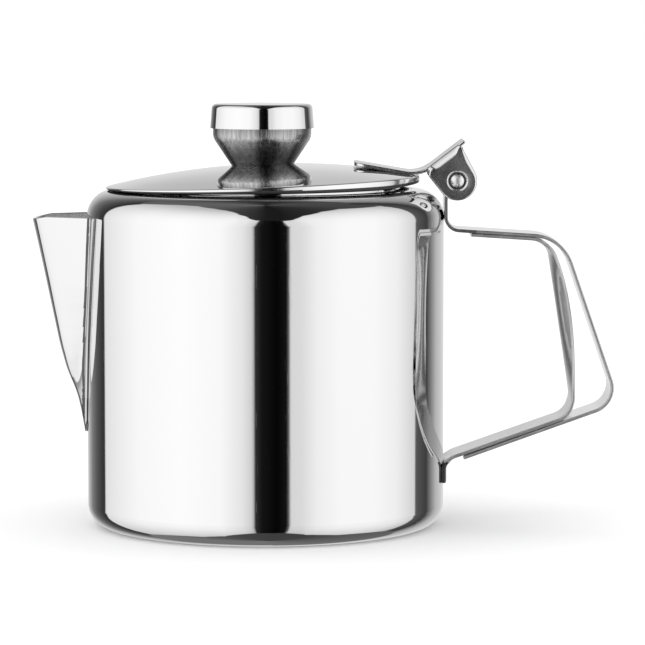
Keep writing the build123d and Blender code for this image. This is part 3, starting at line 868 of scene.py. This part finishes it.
def ear_outline():
    """Ear outline in X-Z with the rounding's width and depth, and the share of fold, at each point."""
    bend, tip, centre = np.array(THUMB_BEND), np.array(THUMB_TIP), np.array(PIN_PLACE)
    front, rear = np.array(EAR_FRONT), np.array(EAR_REAR)
    thumb = (tip - bend) / np.linalg.norm(tip - bend)
    across = np.array([-thumb[1], thumb[0]])

    def touch(point, side):
        """Angle at which a line from the point touches the ear's round end."""
        away = point - centre
        return atan2(away[1], away[0]) + side * np.arccos(EAR_ROUND / np.linalg.norm(away))

    rear_angle, front_angle = touch(rear, -1), touch(front, 1) - 2 * pi
    turns = np.linspace(rear_angle, front_angle, 34)
    end = [centre + EAR_ROUND * np.array([cos(angle), sin(angle)]) for angle in turns]
    knots = [end[-1], front, bend + thumb * EAR_TOP_START, tip, rear, end[0]]
    corners = rounded_path(knots, [0.5, 0.5, 0.9, 1.2], turn=12, reach=0.5)
    rows = []
    for index, point in enumerate([*corners, *end[1:-1]]):
        rise, run = (point - bend) @ across, (point - bend) @ thumb
        fold = 0.0
        if index < len(corners):
            fold = clamp(1 + rise / 0.35) * clamp((FOLD_END - run) / FOLD_FADE)
        rear_share = clamp((point[0] - 49.3) / 1.2) * clamp((point[1] - 84.5) / 8.0)
        width = 0.35 + 0.65 * rear_share
        depth = 0.5 + (FOLD_RADIUS - 0.5) * fold + 0.25 * rear_share * (1 - fold)
        rows.append((point, width + (FOLD_WIDTH - width) * fold, depth, fold))
    return rows


def ear_shell(side):
    """One ear, from the rim of its pin hole out over the rounded edge and back inside."""
    rows = ear_outline()
    loop = np.array([row[0] for row in rows])
    around = np.roll(loop, -1, axis=0) - np.roll(loop, 1, axis=0)
    around /= np.linalg.norm(around, axis=1)[:, None]
    inward = np.stack([-around[:, 1], around[:, 0]], axis=1)
    centre = np.array(PIN_PLACE)
    if np.mean(np.sum(inward * (centre - loop), axis=1)) < 0:
        inward = -inward
    rays = loop - centre
    rays /= np.linalg.norm(rays, axis=1)[:, None]
    # The rounding's inner edge keeps to the same rays, so that it cannot cross itself at a corner
    pull = np.array([row[1] for row in rows]) / np.clip(-np.sum(inward * rays, axis=1), 0.5, 1.0)
    for _ in range(5):
        pull = 0.25 * np.roll(pull, 1) + 0.5 * pull + 0.25 * np.roll(pull, -1)
    shift = -rays * pull[:, None]
    rings = []
    for reach, depth in ((1.5, 0.42), (1.95, 0.42), (2.25, 0.34), (2.45, 0.12), (2.7, 0.0)):
        level = EAR_OUTER - depth
        rings.append([(centre[0] + reach * ray[0], level, centre[1] + reach * ray[1]) for ray in rays])
    for angle in (0, 15, 30, 45, 60, 75, 90):
        ring = []
        for (point, _, depth, _), lean in zip(rows, shift):
            place = point + lean * (1 - sin(radians(angle)))
            ring.append((place[0], EAR_OUTER - depth * (1 - cos(radians(angle))), place[1]))
        rings.append(ring)
    # The back of the sheet, as rows of (inset, distance from the middle): flat, and where it is folded
    fold_level = EAR_OUTER - FOLD_RADIUS
    flat_back = ((0.0, EAR_INNER + 0.12), (0.04, EAR_INNER + 0.04), (0.12, EAR_INNER))
    bent_back = ((0.4, fold_level), (PLATE_THICKNESS, fold_level), (1.3, EAR_INNER))
    for flat, bent in zip(flat_back, bent_back):
        ring = []
        for (point, _, _, fold), lean in zip(rows, inward):
            inset = flat[0] + (bent[0] - flat[0]) * fold
            level = flat[1] + (bent[1] - flat[1]) * fold
            place = point + lean * inset
            ring.append((place[0], level, place[1]))
        rings.append(ring)
    rings.append([(centre[0] + 3.0 * ray[0], EAR_INNER, centre[1] + 3.0 * ray[1]) for ray in rays])
    return tube([[(x, side * y, z) for x, y, z in ring] for ring in rings])


def pin_shell():
    """The pin with a peened dome at each end, each with two small tool marks."""
    profile = [(radius, -level) for radius, level in PIN_DOME]
    profile += [(radius, level) for radius, level in reversed(PIN_DOME)]
    rings = []
    for radius, level in profile:
        ring = []
        for angle in np.linspace(0, 2 * pi, PIN_STEPS, endpoint=False):
            mark = max(cos(angle - radians(place)) for place in TOOL_MARKS)
            pinch = 1 - TOOL_MARK_DEPTH * clamp((mark - 0.975) / 0.025) * (radius > 0.8)
            x, z = radius * pinch * cos(angle), radius * pinch * sin(angle)
            ring.append((PIN_PLACE[0] + x, level, PIN_PLACE[1] + z))
        rings.append(ring)
    return tube(rings)


# ---------------------------------------------------------------- which faces take another steel
# In metres, as the tests are, apart from the crease's start, which is in millimetres as its end is
POST_X, POST_Z = 0.053, (0.073, 0.0845)
FOOT_Z = 0.0165
CHANNEL_X = -0.03
CREASE_START = 0.1
RIDGE_KEPT = 0.0012
BAND_FACING = (-0.06, 0.25)
BAND_REACH = 0.0392
PIN_SEAT = 0.00232


def is_edge(middle, normal):
    """The sheared sides of a strip."""
    return abs(normal.y) > 0.5


def is_shaded_post_edge(middle, normal):
    """The same on the post below the hinge, close to the pot, whose edges take a painted shade."""
    return is_edge(middle, normal) and middle.x < POST_X and POST_Z[0] < middle.z < POST_Z[1]


def is_foot(middle, normal):
    """The sides and the cut end of the foot on the pot's wall."""
    return middle.z < FOOT_Z and (abs(normal.y) > 0.3 or normal.z < -0.3)


def is_inside_spout(middle, normal):
    """The channel's walls: they look back towards the pot or across the channel."""
    outward = normal.x * (middle.x - CHANNEL_X) + normal.y * middle.y
    return outward < 0 and normal.z < 0.6


def is_shaded_crease(middle, normal):
    """The hollow corner beside the flange: a rougher finish, which a polishing wheel does not reach, painted
    near black as shade.
    """
    reach = hypot(middle.x, middle.y) / MM - FLANGE_RADIUS
    facing = (normal.x * middle.x + normal.y * middle.y) > 0
    return CREASE_START < reach < CREASE_RISE and abs(middle.y) > RIDGE_KEPT and facing


def is_lid_band(middle, normal):
    """The upright outer face of the lid's rim."""
    outside = hypot(middle.x - LID_PLACE[0] * MM, middle.y) > BAND_REACH
    return BAND_FACING[0] < normal.z < BAND_FACING[1] and outside


def is_under_lid(middle, normal):
    """All that looks down."""
    return normal.z <= BAND_FACING[0]


def is_pin_seat(middle, normal):
    """The dimple round the pin's head."""
    reach = hypot(middle.x - PIN_PLACE[0] * MM, middle.z - PIN_PLACE[1] * MM)
    return reach < PIN_SEAT


# ---------------------------------------------------------------- pieces
build(
    "outer_handle_strip", outer_strip, "handle_outer_strip", strip_look,
    [(sheared, is_edge), (post_edge_painted_shade, is_shaded_post_edge)],
)
build(
    "inner_handle_strip", inner_strip, "handle_inner_strip", brushed,
    [(sheared, is_edge), (shaded, is_foot)],
)
build(
    "folded_spout", spout_shell(), "spout", spout_with_painted_toe,
    [(channel, is_inside_spout), (crease_painted_shade, is_shaded_crease)],
)
build(
    "domed_lid", lid_shell(), "lid_cover", mirror,
    [(shaded, is_under_lid), (rim_look, is_lid_band)],
)
hinge_shell = join(strip(plate_path, 1, PLATE_THICKNESS, PLATE_EDGE, plate_half), ear_shell(1), ear_shell(-1))
build("hinge_bracket", hinge_shell, "hinge_plate", dull, [(shaded, is_pin_seat)])
build("peened_pin", pin_shell(), "hinge_pin", plain)

LOOKS = {
    "body_shell": mirror, "lid_skirt": mirror, "knob_cap": mirror, "knob_bowl": satin_painted_light,
    "knob_stud": plain, "knob_washer": plain, "knob_nut": plain,
}
for node, look in LOOKS.items():
    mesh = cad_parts[node].data
    mesh.materials.clear()
    mesh.materials.append(look)
